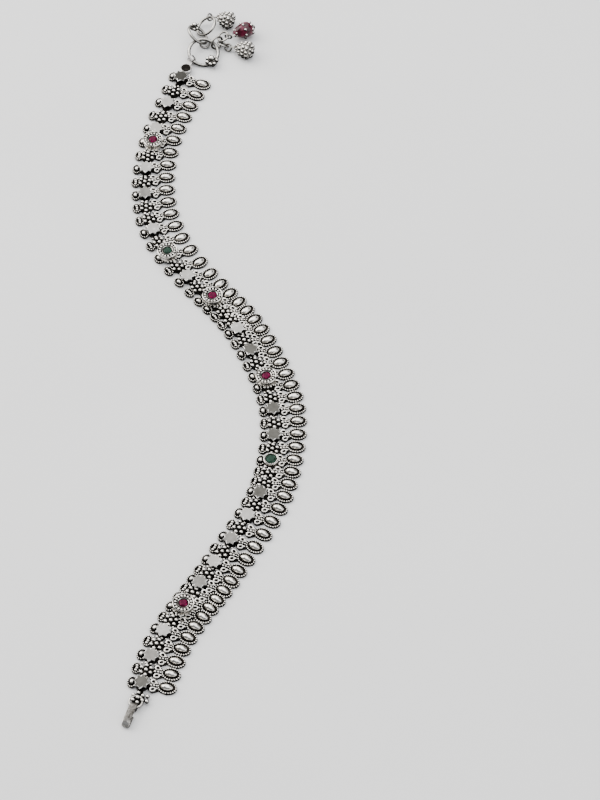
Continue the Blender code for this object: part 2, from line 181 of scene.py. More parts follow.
def row_offset():
    """The move from the row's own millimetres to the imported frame, read from one stone's place."""
    low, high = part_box("stone_red_1")
    middle = (low + high) / 2 / MM
    here = gem_frame(GEMS[0]).translation
    return Vector((middle.x - here.x, middle.y - here.y, 0))


# Shapes: arrays of points, faces and shine, which is 0 where black oxide lies in a recess or where shade
# is painted under a part, and 1 on a polished spot

Shape = namedtuple("Shape", "points faces shine")


def ramp(value, low, high):
    """0 below low, 1 above high and smooth between."""
    t = np.clip((np.asarray(value, float) - low) / (high - low), 0, 1)
    return t * t * (3 - 2 * t)


def stack(rings, shine, cap_low=True):
    """A skin through rings of as many points each, closed at its ends by fans."""
    rings = [np.asarray(ring, float) for ring in rings]
    count = len(rings[0])
    points, values, faces = list(rings), [np.full(count, s) for s in shine], []
    for level in range(len(rings) - 1):
        low, high = level * count, (level + 1) * count
        for i in range(count):
            j = (i + 1) % count
            faces.append((low + i, low + j, high + j, high + i))
    total = count * len(rings)
    ends = [(0, 0)] if cap_low else []
    for ring, start in ends + [(-1, total - count)]:
        points.append(rings[ring].mean(axis=0)[None])
        values.append(np.array([shine[ring]]))
        for i in range(count):
            j = (i + 1) % count
            face = (start + i, start + j, total) if ring else (start + j, start + i, total)
            faces.append(face)
        total += 1
    return Shape(np.concatenate(points), faces, np.concatenate(values))


def circle(count, radius, z, turn=0.0):
    a = 2 * np.pi * (np.arange(count) / count) + turn
    return np.stack([radius * np.cos(a), radius * np.sin(a), np.full(count, z)], 1)


def oval(count, half_x, half_y, z=0.0, x=0.0, power=2.0):
    """Points round an oval. A power under 2 draws its ends to points."""
    a = 2 * np.pi * np.arange(count) / count
    cos, sin = np.cos(a), np.sin(a)
    xs = half_x * np.sign(cos) * np.abs(cos) ** (2 / power)
    ys = half_y * np.sign(sin) * np.abs(sin) ** (2 / power)
    return np.stack([x + xs, ys, np.full(count, z)], 1)


def even_oval(count, half_x, half_y):
    """Evenly spaced places round an oval."""
    fine = oval(720, half_x, half_y)
    steps = np.linalg.norm(np.roll(fine, -1, axis=0) - fine, axis=1)
    along = np.concatenate([[0], np.cumsum(steps)])
    wanted = np.linspace(0, along[-1], count, endpoint=False)
    closed = np.concatenate([fine, fine[:1]])
    return [(np.interp(w, along, closed[:, 0]), np.interp(w, along, closed[:, 1])) for w in wanted]


# A turned shape's profile, from the bottom up its outer side, and a flat outline's levels.
Turn = namedtuple("Turn", "radius z shine")
Level = namedtuple("Level", "share z shine")


def revolve(profile, sides):
    """A turned shape through these turns."""
    rings = [circle(sides, turn.radius, turn.z) for turn in profile]
    return stack(rings, [turn.shine for turn in profile])


def layers(outline, levels):
    """A skin through the outline as it is scaled and raised for each level."""
    rings = [outline * (level.share, level.share, 0) + (0, 0, level.z) for level in levels]
    return stack(rings, [level.shine for level in levels])


def sphere(sides, levels, dark_below, bright_above):
    """A ball of radius 1, polished above and black below, with oxide and painted shade on its underside.
    """
    turns = np.pi * np.arange(1, levels) / levels
    rings = [circle(sides, np.sin(t), -np.cos(t)) for t in turns]
    ball = stack(rings, [0.0] * len(rings))
    points = ball.points.copy()
    points[-2], points[-1] = (0, 0, -1), (0, 0, 1)
    return Shape(points, ball.faces, ramp(points[:, 2], dark_below, bright_above))


def loop_faces(count, sides):
    """The faces round a closed loop of sections, each with this many points."""
    faces = []
    for i in range(count):
        j = (i + 1) % count
        for k in range(sides):
            m = (k + 1) % sides
            faces.append((i * sides + k, i * sides + m, j * sides + m, j * sides + k))
    return faces


def tube(path, radii, normal, sides):
    """A closed loop of wire along a flat path, with a radius for each point and no shine yet."""
    path = np.asarray(path, float)
    normal = np.asarray(normal, float)
    ahead = np.roll(path, -1, axis=0) - np.roll(path, 1, axis=0)
    ahead /= np.linalg.norm(ahead, axis=1)[:, None]
    out = np.cross(ahead, normal)
    out /= np.linalg.norm(out, axis=1)[:, None]
    turns = 2 * np.pi * np.arange(sides) / sides
    radii = np.broadcast_to(radii, len(path))
    offset = out[:, None] * np.cos(turns)[None, :, None] + normal * np.sin(turns)[None, :, None]
    points = (path[:, None] + offset * radii[:, None, None]).reshape(-1, 3)
    return Shape(points, loop_faces(len(path), sides), np.zeros(len(points)))


def moved(shape, matrix):
    m = np.array(matrix, float)
    return shape._replace(points=shape.points @ m[:3, :3].T + m[:3, 3])


def ball_at(template, x, y, z, radius):
    """A ball of radius 1, made this large and set here."""
    return moved(template, Matrix.Translation((x, y, z)) @ Matrix.Diagonal((radius, radius, radius, 1)))


class Pile:
    """Shapes gathered into one piece of the object."""

    def __init__(self, name):
        self.name = name
        self.points, self.faces, self.shine, self.count = [], [], [], 0

    def add(self, shape, matrix=None):
        if matrix is not None:
            shape = moved(shape, matrix)
        self.points.append(shape.points)
        self.shine.append(shape.shine)
        start = self.count
        self.faces.extend([tuple(start + i for i in face) for face in shape.faces])
        self.count += len(shape.points)

    def add_all(self, shapes, matrix=None):
        for shape in shapes:
            self.add(shape, matrix)

    def build(self, material, slot, nodes, sharp_angle=40):
        mesh = bpy.data.meshes.new(self.name)
        points = (np.concatenate(self.points) + np.array(OFFSET)) * MM
        mesh.from_pydata(points.tolist(), [], self.faces)
        shine = mesh.attributes.new("shine", "FLOAT", "POINT")
        shine.data.foreach_set("value", np.concatenate(self.shine).astype(np.float32))
        mesh.shade_smooth()
        mesh.set_sharp_from_angle(angle=math.radians(sharp_angle))
        mesh.materials.append(material)
        obj = bpy.data.objects.new(self.name, mesh)
        bpy.context.scene.collection.objects.link(obj)
        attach(obj, "root")
        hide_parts(*nodes)


# Materials

# Black and brown of oxide in recesses, also used as painted shade under parts.
OXIDE_AND_SHADE_BLACK, OXIDE_AND_SHADE_BROWN = (0.008, 0.007, 0.006), (0.035, 0.031, 0.027)
# The silver's tint, and the tab's darker one, which is painted shade.
SILVER_TINT, SHADED_DARK_TINT = (0.82, 0.785, 0.725), (0.6, 0.58, 0.56)
# The stars' colours by shine: black of oxide and painted shade below, painted reflections for the faces,
# and a painted highlight at the bevel.
STAR_TONES = [
    (0.0, OXIDE_AND_SHADE_BLACK),
    (0.4, (0.055, 0.053, 0.047)),
    (0.62, (0.12, 0.115, 0.105)),
    (0.88, (0.3, 0.29, 0.275)),
    (1.0, (0.85, 0.83, 0.79)),
]
STONE_TONES = {
    "red": [(0.0, (0.015, 0.0, 0.004)), (0.5, (0.06, 0.0004, 0.017)), (1.0, (0.21, 0.0008, 0.055))],
    "green": [(0.0, (0.004, 0.01, 0.007)), (0.5, (0.012, 0.03, 0.02)), (1.0, (0.03, 0.085, 0.055))],
}
ENAMEL_TONES = [(0.3, (0.012, 0.0005, 0.002)), (0.5, (0.05, 0.001, 0.009)), (0.72, (0.15, 0.006, 0.035))]
FLOOR_TONES = [(0.3, (0.78, 0.775, 0.765)), (0.7, (0.82, 0.815, 0.805))]


class Graph:
    """A material and its nodes, which work in the object's own coordinates."""

    def __init__(self, name):
        self.material = bpy.data.materials.new(name)
        self.material.use_nodes = True
        self.nodes, self.links = self.material.node_tree.nodes, self.material.node_tree.links
        self.shader = self.nodes["Principled BSDF"]
        self.coordinates = self.nodes.new("ShaderNodeTexCoord").outputs["Object"]

    def feed(self, node, inputs):
        """Links or sets these inputs of a node."""
        for key, value in inputs.items():
            if isinstance(value, bpy.types.NodeSocket):
                self.links.new(value, node.inputs[key])
            else:
                node.inputs[key].default_value = value

    def shine(self):
        """The shine that the points of the shapes carry."""
        made = self.nodes.new("ShaderNodeAttribute")
        made.attribute_name = "shine"
        return made.outputs["Fac"]

    def noise(self, scale, detail, roughness=0.55):
        made = self.nodes.new("ShaderNodeTexNoise")
        inputs = {"Vector": self.coordinates, "Scale": scale, "Detail": detail, "Roughness": roughness}
        self.feed(made, inputs)
        return made.outputs["Fac"]

    def math(self, operation, first, second, clamp=False):
        made = self.nodes.new("ShaderNodeMath")
        made.operation = operation
        made.use_clamp = clamp
        self.feed(made, {0: first, 1: second})
        return made.outputs[0]

    def stain(self, amount, scale, detail, roughness=0.55):
        """Noise about zero that spans this amount."""
        centred = self.math("SUBTRACT", self.noise(scale, detail, roughness), 0.5)
        return self.math("MULTIPLY", centred, amount)

    def colours(self, factor, stops):
        made = self.nodes.new("ShaderNodeValToRGB")
        elements = made.color_ramp.elements
        while len(elements) < len(stops):
            elements.new(0.5)
        for element, (position, colour) in zip(elements, stops):
            element.position = position
            element.color = (*colour, 1.0)
        self.feed(made, {"Fac": factor})
        return made.outputs["Color"]

    def values(self, factor, stops):
        return self.colours(factor, [(position, (v, v, v)) for position, v in stops])

    def bump(self, height, distance, strength):
        made = self.nodes.new("ShaderNodeBump")
        self.feed(made, {"Height": height, "Distance": distance, "Strength": strength})
        return made

    def finished(self, inputs):
        """The material, with these inputs of its shader."""
        self.feed(self.shader, inputs)
        return self.material


def silver_material(name, tint=SILVER_TINT, polish=0.15, oxide_gain=1.0):
    """Polished silver, black with oxide in its recesses and with painted shade under its parts, worn
    unevenly, with a cast grain.
    """
    graph = Graph(name)
    patches = graph.stain(0.9 * oxide_gain, 420.0, 3.0)
    specks = graph.stain(0.7 * oxide_gain, 2600.0, 3.0, 0.65)
    # worn holds the shine, with its oxide and painted shade, plus uneven wear.
    worn = graph.math("ADD", graph.shine(), patches)
    worn = graph.math("ADD", worn, specks, clamp=True)
    half_worn = tuple(0.4 * c for c in tint)
    tones = [(0.0, OXIDE_AND_SHADE_BLACK), (0.3, OXIDE_AND_SHADE_BROWN), (0.6, half_worn), (0.9, tint)]
    rough = [(0.0, 0.62), (0.4, 0.42), (0.8, polish + 0.05), (1.0, polish)]
    hammered = graph.bump(graph.noise(900.0, 2.0, 0.5), 0.0001, 0.3)
    grain = graph.bump(graph.noise(3400.0, 5.0, 0.6), 0.00003, 0.35)
    graph.feed(grain, {"Normal": hammered.outputs["Normal"]})
    return graph.finished({
        "Base Color": graph.colours(worn, tones),
        "Roughness": graph.values(worn, rough),
        "Metallic": 1.0,
        "Normal": grain.outputs["Normal"],
    })


def star_material(name):
    """Satin silver of the flat stars, finely scratched. Its colour is painted light: painted reflections
    from dark steel grey to pale on the faces, painted shade below and a painted highlight on the bevel.
    """
    graph = Graph(name)
    tone = graph.math("ADD", graph.shine(), graph.stain(0.2, 700.0, 3.0), clamp=True)
    scratches = graph.bump(graph.noise(5200.0, 4.0), 0.00001, 0.3)
    return graph.finished({
        "Base Color": graph.colours(tone, STAR_TONES),
        "Roughness": graph.values(tone, [(0.0, 0.6), (0.4, 0.3), (1.0, 0.22)]),
        "Metallic": 1.0,
        "Normal": scratches.outputs["Normal"],
    })


def stone_material(name, tones):
    """A cut stone. Each facet's shine picks a tone, a painted stand-in for the light inside a stone."""
    graph = Graph(name)
    tone = graph.math("ADD", graph.shine(), graph.stain(0.5, 1500.0, 4.0), clamp=True)
    return graph.finished({
        "Base Color": graph.colours(tone, tones),
        "Roughness": graph.values(tone, [(0.0, 0.05), (1.0, 0.12)]),
        "IOR": 1.5,
        "Specular IOR Level": 0.08,
    })


def enamel_material(name):
    """Deep raspberry glass enamel with cloudy depth and a worn gloss."""
    graph = Graph(name)
    cloud = graph.noise(700.0, 5.0)
    pits = graph.bump(graph.noise(2400.0, 3.0), 0.00004, 0.3)
    return graph.finished({
        "Base Color": graph.colours(cloud, ENAMEL_TONES),
        "Roughness": graph.values(cloud, [(0.3, 0.12), (0.8, 0.3)]),
        "Specular IOR Level": 0.2,
        "Coat Weight": 0.3,
        "Coat Roughness": 0.15,
        "Normal": pits.outputs["Normal"],
    })


def floor_material(name):
    """A pale matt floor with a very faint tone change and a fine tooth."""
    graph = Graph(name)
    tooth = graph.bump(graph.noise(1800.0, 3.0), 0.00004, 0.25)
    return graph.finished({
        "Base Color": graph.colours(graph.noise(9.0, 3.0), FLOOR_TONES),
        "Roughness": 0.75,
        "Normal": tooth.outputs["Normal"],
    })


# One link, in millimetres: x along its drop, y along the row, z up

GRANULE = sphere(10, 6, dark_below=0.2, bright_above=0.95)
BALL = sphere(16, 10, dark_below=0.2, bright_above=1.0)

CUP_X, CUP_Y, CUP_HALF_X, CUP_HALF_Y, CUP_SIDES = -2.75, 0.3, 1.3, 1.7, 28
CUP_WALL_TOP, CUP_FLOOR = 0.8, 0.4
CUP_LEVELS = [
    Level(0.94, 0.0, 0.0),
    Level(1.0, 0.2, 0.2),
    Level(1.0, CUP_WALL_TOP - 0.15, 0.2),
    Level(0.93, CUP_WALL_TOP, 0.05),
    Level(0.68, CUP_WALL_TOP - 0.05, 0.0),
    Level(0.64, CUP_FLOOR, 0.0),
]
CUP_BEADS, CUP_BEAD, CUP_BEAD_INSET, CUP_BEAD_RISE = 14, 0.23, 0.17, 0.06
CUP_DOME = (0.7, 0.9, 0.8)
CUP_BALL, CUP_BALL_STEP, CUP_BALL_BEND = 0.46, 0.72, 0.12

FLOWER_BALLS, FLOWER_RING, FLOWER_BALL, FLOWER_Z = 6, 1.46, 0.56, 1.3
FLOWER_CENTRE_BALL, FLOWER_CENTRE_Z, FLOWER_SIDES = 0.6, 1.42, 24
FLOWER_BASE = [Turn(1.7, 0.0, 0.0), Turn(1.85, 0.25, 0.05), Turn(1.75, 0.65, 0.1), Turn(1.36, 0.95, 0.0)]
# How far each flower is turned, and by how much more or less at random.
FLOWER_TURN, FLOWER_TURN_SPREAD = math.radians(30), 0.2

STAR_POINT, STAR_NOTCH, STAR_POINTS, STAR_HOLLOW, STAR_STEPS = 2.3, 1.68, 8, 1.6, 8
STAR_TOP, STAR_PIVOT = 2.56, 2.3
# The star's edge: painted shade on its lower side and a painted highlight on its bevel, at a shine over
# 1.
STAR_EDGE = [
    Level(0.7, 1.75, 0.0),
    Level(0.94, 2.0, 0.1),
    Level(1.0, 2.12, 0.3),
    Level(1.0, STAR_TOP - 0.1, 1.1),
    Level(0.93, STAR_TOP, 1.1),
]
STAR_POST, POST_SIDES = [Turn(1.1, 0.0, 0.0), Turn(1.1, 2.1, 0.0)], 16
# Stars whose faces are painted lighter or darker than the rest, a painted reflection, and how far a star
# leans at most, in degrees.
PAINTED_LIGHT_STARS, PAINTED_DARK_STARS = {5, 12, 16, 32, 38, 42, 47, 50, 52}, {1, 18, 23, 25, 30}
# How light each star's face is painted, as a painted reflection: most stars, the lighter and the darker
# ones, and the last link's.
STAR_PAINTED_REFLECTION, LIGHT_PAINTED_REFLECTION, DARK_PAINTED_REFLECTION, END_PAINTED_REFLECTION = 0.66, 0.86, 0.45, 0.25
STAR_LEAN = 1.5
# The seat below a star or a collar, and the bars from link to link, both near black: oxide and painted
# shade under the tops.
SEAT, SEAT_SIDES = [Turn(1.7, 0.0, 0.0), Turn(1.8, 0.9, 0.0)], 20
TIE_HALF_WIDTH, TIE_LEVELS = 0.8, [Level(1.0, 0.02, 0.0), Level(1.0, 0.7, 0.1)]

# Balls beside the tops and between them: place, height of the middle and radius.
Speck = namedtuple("Speck", "x y z radius")
NECK_BALLS = [
    Speck(2.4, 0.0, 1.0, 0.45),
    Speck(3.25, 0.0, 0.95, 0.38),
    Speck(3.95, 0.0, 0.9, 0.3),
    Speck(2.15, 2.05, 0.9, 0.4),
    Speck(4.05, 0.85, 0.85, 0.28),
    Speck(4.05, -0.85, 0.85, 0.28),
    Speck(-1.35, 2.2, 0.85, 0.38),
    Speck(0.95, 2.2, 0.9, 0.4),
    Speck(-0.3, 2.3, 1.0, 0.56),
]
END_BALLS = [Speck(2.45, 0.75, 1.0, 0.6), Speck(2.45, -0.75, 1.0, 0.6)]
# Half of the neck's plate, from the top to the drop, and how high it is.
NECK_HALF = [(1.3, 0.6), (2.9, 2.0), (4.6, 1.2)]
NECK_TOP = 0.55

PETAL_X, PETAL_Y, PETAL_TURN, PETAL_Z = 3.0, 1.15, 24, 0.92
PETAL_LONG, PETAL_WIDE, PETAL_PEAR, PETAL_STEPS = 0.74, 0.56, 0.22, 22
PETAL_WIRE, PETAL_WIRE_TAPER, PETAL_WIRE_SIDES = 0.25, 0.2, 9
PETAL_PIT, PIT_SIDES = [Turn(0.62, 0.0, 0.0), Turn(0.66, 0.75, 0.0)], 14
PETAL_TIP = Speck(0.96, 0.0, 0.0, 0.2)

DROP_X, DROP_HALF_X, DROP_HALF_Y, DROP_SIDES = 6.7, 2.7, 2.05, 36
DROP_PLATE_TOP, DROP_BEADS, DROP_BEAD, DROP_BEAD_INSET, DROP_BEAD_RISE = 0.42, 20, 0.29, 0.3, 0.16
DROP_LEVELS = [
    Level(0.95, 0.0, 0.0),
    Level(0.985, 0.1, 0.15),
    Level(0.985, 0.32, 0.2),
    Level(0.93, DROP_PLATE_TOP, 0.0),
    Level(0.7, DROP_PLATE_TOP - 0.08, 0.0),
]
DOME_X, DOME_HALF_X, DOME_HALF_Y, DOME_FOOT, DOME_TOP = -0.15, 1.75, 1.0, 0.45, 1.6
DOME_POINTED, DOME_ROUNDED, DOME_LEVELS, DOME_SHINE = 1.85, 0.85, 9, (-0.05, 0.22)
# The black step below a dome: its share of the dome, its bottom and its top.
DOME_STEP, DOME_STEP_Z = 0.98, (0.3, DOME_FOOT + 0.05)


def cup_shapes(has_dome):
    """The beaded oval cup at the left edge, round a polished dome or three balls."""
    shapes = [layers(oval(CUP_SIDES, CUP_HALF_X, CUP_HALF_Y), CUP_LEVELS)]
    for x, y in even_oval(CUP_BEADS, CUP_HALF_X - CUP_BEAD_INSET, CUP_HALF_Y - CUP_BEAD_INSET):
        shapes.append(ball_at(GRANULE, x, y, CUP_WALL_TOP + CUP_BEAD_RISE, CUP_BEAD))
    if has_dome:
        dome = Matrix.Translation((0, 0, CUP_WALL_TOP)) @ Matrix.Diagonal((*CUP_DOME, 1))
        shapes.append(moved(BALL, dome))
    else:
        for k in (-1, 0, 1):
            x, y = CUP_BALL_BEND * (1 - abs(k)), CUP_BALL_STEP * k
            shapes.append(ball_at(BALL, x, y, CUP_WALL_TOP, CUP_BALL))
    return [moved(shape, Matrix.Translation((CUP_X, CUP_Y, 0))) for shape in shapes]


def flower_shapes(turn):
    """Six balls round one, on a black seat."""
    shapes = [revolve(FLOWER_BASE, FLOWER_SIDES)]
    for i in range(FLOWER_BALLS):
        a = turn + 2 * math.pi * i / FLOWER_BALLS
        x, y = FLOWER_RING * math.cos(a), FLOWER_RING * math.sin(a)
        shapes.append(ball_at(BALL, x, y, FLOWER_Z, FLOWER_BALL))
    shapes.append(ball_at(BALL, 0, 0, FLOWER_CENTRE_Z, FLOWER_CENTRE_BALL))
    return shapes


def star_outline():
    """A star with hollow sides."""
    steps = STAR_POINTS * STAR_STEPS
    share = (np.arange(steps) % STAR_STEPS) / STAR_STEPS
    reach = STAR_NOTCH + (STAR_POINT - STAR_NOTCH) * np.abs(2 * share - 1) ** STAR_HOLLOW
    a = 2 * np.pi * np.arange(steps) / steps
    return np.stack([reach * np.cos(a), reach * np.sin(a), np.zeros(steps)], 1)


def star_shapes(lean_x, lean_y, tone):
    """A flat polished star on a dark post. Its tone is how light its face is painted, a painted
    reflection.
    """
    face = [Level(0.915, STAR_TOP, tone), Level(0.5, STAR_TOP, tone)]
    plate = layers(star_outline(), STAR_EDGE + face)
    lean = Matrix.Rotation(lean_x, 4, "X") @ Matrix.Rotation(lean_y, 4, "Y")
    pivot = Matrix.Translation((0, 0, STAR_PIVOT))
    return [revolve(STAR_POST, POST_SIDES), moved(plate, pivot @ lean @ pivot.inverted())]


def painted_star_reflection(link):
    if link == LAST_LINK:
        return END_PAINTED_REFLECTION
    if link in PAINTED_LIGHT_STARS:
        return LIGHT_PAINTED_REFLECTION
    return DARK_PAINTED_REFLECTION if link in PAINTED_DARK_STARS else STAR_PAINTED_REFLECTION


def petal_shapes():
    """Two pear-shaped loops with a black pit each, and a small ball at the tip of each."""
    a = 2 * np.pi * np.arange(PETAL_STEPS) / PETAL_STEPS
    across = PETAL_WIDE * (1 - PETAL_PEAR * np.cos(a)) * np.sin(a)
    path = np.stack([PETAL_LONG * np.cos(a), across, np.zeros(PETAL_STEPS)], 1)
    loop = tube(path, PETAL_WIRE * (1 - PETAL_WIRE_TAPER * np.cos(a)), (0, 0, 1), PETAL_WIRE_SIDES)
    # Darker towards the bottom of the wire: oxide and painted shade below it, polished on top.
    loop = loop._replace(shine=ramp(loop.points[:, 2] / PETAL_WIRE, 0.0, 0.85))
    pit = revolve(PETAL_PIT, PIT_SIDES)
    tip = ball_at(GRANULE, *PETAL_TIP)
    shapes = []
    for side in (-1, 1):
        place = Matrix.Translation((PETAL_X, side * PETAL_Y, 0))
        place = place @ Matrix.Rotation(math.radians(-side * PETAL_TURN), 4, "Z")
        raised = place @ Matrix.Translation((0, 0, PETAL_Z))
        shapes += [moved(loop, raised), moved(pit, place), moved(tip, raised)]
    return shapes


def neck_shapes():
    """Small balls between the top and the drop, on a black plate."""
    outline = [(x, -y) for x, y in NECK_HALF] + [(x, y) for x, y in reversed(NECK_HALF)]
    plate = stack([np.array([(x, y, z) for x, y in outline]) for z in (0.0, NECK_TOP)], [0.0, 0.0])
    return [plate] + [ball_at(BALL, *ball) for ball in NECK_BALLS]


def dome_shape():
    """A polished, slightly pointed dome, black at its foot."""
    rings, shine = [], []
    for level in range(DOME_LEVELS):
        turn = math.pi / 2 * level / DOME_LEVELS
        k, rise = math.cos(turn) ** DOME_ROUNDED, math.sin(turn)
        z = DOME_FOOT + (DOME_TOP - DOME_FOOT) * rise
        power = DOME_POINTED + (2.0 - DOME_POINTED) * rise
        rings.append(oval(DROP_SIDES, DOME_HALF_X * k, DOME_HALF_Y * k, z, x=DOME_X, power=power))
        shine.append(float(ramp(rise, *DOME_SHINE)))
    dome = stack(rings, shine, cap_low=False)
    dome.points[-1] = (DOME_X, 0, DOME_TOP)
    return dome


def drop_shapes():
    """An oval plate with a border of beads round a dome."""
    shapes = [layers(oval(DROP_SIDES, DROP_HALF_X, DROP_HALF_Y), DROP_LEVELS)]
    for x, y in even_oval(DROP_BEADS, DROP_HALF_X - DROP_BEAD_INSET, DROP_HALF_Y - DROP_BEAD_INSET):
        shapes.append(ball_at(GRANULE, x, y, DROP_PLATE_TOP + DROP_BEAD_RISE, DROP_BEAD))
    half_x, half_y = DOME_HALF_X * DOME_STEP, DOME_HALF_Y * DOME_STEP
    step = stack([oval(DROP_SIDES, half_x, half_y, z, x=DOME_X) for z in DOME_STEP_Z], [0.0, 0.0])
    return shapes + [dome_shape(), step]


def links_under_gems():
    """Links whose flower gives way to a gem collar."""
    covered = set()
    for gem in GEMS:
        covered |= {math.floor(gem.link), math.ceil(gem.link)}
    return covered


# Gem collars and stones

Collar = namedtuple("Collar", "wall rim lip flutes beads ring bead bead_z")
COLLARS = {
    "wide": Collar(
        wall=[
            Turn(2.35, 0.0, 0.1),
            Turn(2.5, 0.7, 0.65),
            Turn(2.88, 1.7, 0.85),
            Turn(2.95, 1.95, 1.0),
            Turn(2.82, 2.15, 0.6),
        ],
        rim=[
            Turn(2.84, 2.9, 0.6),
            Turn(2.95, 3.1, 0.9),
            Turn(2.93, 3.38, 1.0),
            Turn(2.8, 3.48, 1.0),
            Turn(2.66, 3.4, 0.9),
            Turn(2.6, 3.1, 0.0),
        ],
        lip=[
            Turn(1.74, 2.8, 0.0),
            Turn(1.66, 3.2, 0.7),
            Turn(1.54, 3.32, 1.0),
            Turn(1.43, 3.24, 0.8),
            Turn(1.4, 2.8, 0.1),
        ],
        flutes=22,
        beads=16,
        ring=2.18,
        bead=(0.45, 0.36, 0.38),
        bead_z=3.08,
    ),
    "narrow": Collar(
        wall=[Turn(1.85, 0.0, 0.0), Turn(2.0, 0.9, 0.3), Turn(2.1, 1.4, 0.6), Turn(2.02, 1.55, 0.2)],
        rim=[
            Turn(2.02, 2.3, 0.3),
            Turn(2.1, 2.5, 0.9),
            Turn(2.08, 2.72, 1.0),
            Turn(1.97, 2.8, 1.0),
            Turn(1.86, 2.72, 0.8),
            Turn(1.82, 2.5, 0.1),
        ],
        lip=[
            Turn(1.66, 2.3, 0.0),
            Turn(1.64, 2.6, 0.8),
            Turn(1.58, 2.65, 1.0),
            Turn(1.54, 2.58, 0.8),
            Turn(1.54, 2.3, 0.1),
        ],
        flutes=18,
        beads=22,
        ring=1.78,
        bead=(0.2, 0.2, 0.2),
        bead_z=2.62,
    ),
}
COLLAR_SIDES, LIP_SIDES, FLUTE_DEPTH, FLUTE_LOW = 88, 48, 0.035, 0.5
FOOT_RING, FOOT_STEP, FOOT_BALL, FOOT_BALL_Z = 2.75, 19, 0.44, 1.05

Cut = namedtuple("Cut", "girdle girdle_z table table_z culet_z")
CUTS = {"wide": Cut(1.36, 2.92, 0.76, 3.38, 2.35), "narrow": Cut(1.5, 2.46, 0.88, 2.96, 1.85)}
GIRDLE_THICK, CROWN_RISE, TABLE_PAINTED_GLINT, FACET_PAINTED_GLINT = 0.08, 0.6, 0.55, (0.1, 1.0)


def collar_shapes(kind):
    """A fluted cup with a polished rim, a ring of granules and a lip round the stone."""
    collar = COLLARS[kind]
    shell = revolve(collar.wall + collar.rim, COLLAR_SIDES)
    x, y, z = shell.points.T
    on_wall = (z > FLUTE_LOW) & (z < collar.wall[-1].z - 0.1)
    flutes = 0.5 + 0.5 * np.cos(collar.flutes * np.arctan2(y, x))
    shell.points[:, :2] *= (1 - FLUTE_DEPTH * flutes * on_wall)[:, None]
    shapes = [shell, revolve(collar.lip, LIP_SIDES)]
    for i in range(collar.beads):
        around = Matrix.Rotation(2 * math.pi * i / collar.beads, 4, "Z")
        place = around @ Matrix.Translation((collar.ring, 0, collar.bead_z))
        shapes.append(moved(BALL, place @ Matrix.Diagonal((*collar.bead, 1))))
    return shapes


def foot_shapes():
    """Balls round the foot of a collar, before and behind it in the row."""
    shapes = []
    for side in (-1, 1):
        for k in (-1.5, -0.5, 0.5, 1.5):
            a = math.radians(90 * side + FOOT_STEP * k)
            x, y = FOOT_RING * math.cos(a), FOOT_RING * math.sin(a)
            shapes.append(ball_at(BALL, x, y, FOOT_BALL_Z, FOOT_BALL))
    return shapes


def brilliant_facets(crown, upper, lower, culet):
    """The facets between corners that are numbered from 0 at the table and from these below it."""
    facets = [tuple(range(8))]
    for i in range(8):
        j, before, corner = (i + 1) % 8, (i - 1) % 8, upper + 2 * i
        facets.append((i, crown + i, j))
        facets.append((i, crown + before, corner, crown + i))
        facets.append((crown + i, corner, corner + 1))
        facets.append((crown + i, corner + 1, upper + (2 * i + 2) % 16))
    for i in range(16):
        j = (i + 1) % 16
        facets.append((upper + i, lower + i, lower + j, upper + j))
        facets.append((lower + i, culet, lower + j))
    return facets


def stone_shape(kind, rng):
    """A round brilliant: table, star, kite and girdle facets, each with a painted tone of its own,
    standing in for light inside the stone.
    """
    cut = CUTS[kind]
    crown_z = cut.girdle_z + CROWN_RISE * (cut.table_z - cut.girdle_z)
    corners = np.concatenate([
        circle(8, cut.table, cut.table_z),
        circle(8, (cut.girdle + cut.table) / 2, crown_z, turn=math.pi / 8),
        circle(16, cut.girdle, cut.girdle_z),
        circle(16, cut.girdle, cut.girdle_z - GIRDLE_THICK),
        [(0, 0, cut.culet_z)],
    ])
    points, faces, shine = [], [], []
    for number, facet in enumerate(brilliant_facets(8, 16, 32, 48)):
        start = len(points)
        # Painted light inside the stone: a fixed tone for the table and a random one for each other
        # facet.
        tone = TABLE_PAINTED_GLINT if number == 0 else rng.uniform(*FACET_PAINTED_GLINT)
        points.extend(corners[k] for k in facet)
        shine.extend([tone] * len(facet))
        faces.append(tuple(range(start, len(points))))
    return Shape(np.array(points), faces, np.array(shine))


# The hook, the tab, the rings and the charms

STAPLE_CENTRE, STAPLE_RADIUS, STAPLE_WIRE = (-43.0, -111.7, 1.25), 1.75, 0.33
HOOK_ANGLE = 250
HOOK_WIDTH, HOOK_THICK, HOOK_CORNER, HOOK_EYE = 2.0, 0.45, 0.14, 0.86
EYE_FROM, EYE_TO, EYE_STEPS = -150, 90, 20
# The strip after its eye: how far from the staple's wire, and how high.
HOOK_LINE = [(2.4, 2.12), (4.0, 1.95), (5.2, 1.45), (5.75, 0.9), (5.5, 0.42), (4.9, 0.24), (2.3, 0.24)]
# Its shine, and the place along it where the fold catches the light.
HOOK_SHINE, HOOK_KNEE, HOOK_KNEE_SPREAD = 0.38, 0.36, 0.1

TAB_AHEAD, TAB_RADIUS, TAB_UNDERSIDE, TAB_TOP = 4.2, 1.75, 1.02, 1.7
TAB_NECK_HALF, TAB_NECK_INSET, TAB_ANGLE = 0.85, 0.3, 193
TAB_EYE, TAB_EYE_HALF_THICK, TAB_EYE_STEPS, TAB_EYE_SHINE = 1.0, 0.2, 28, 0.8
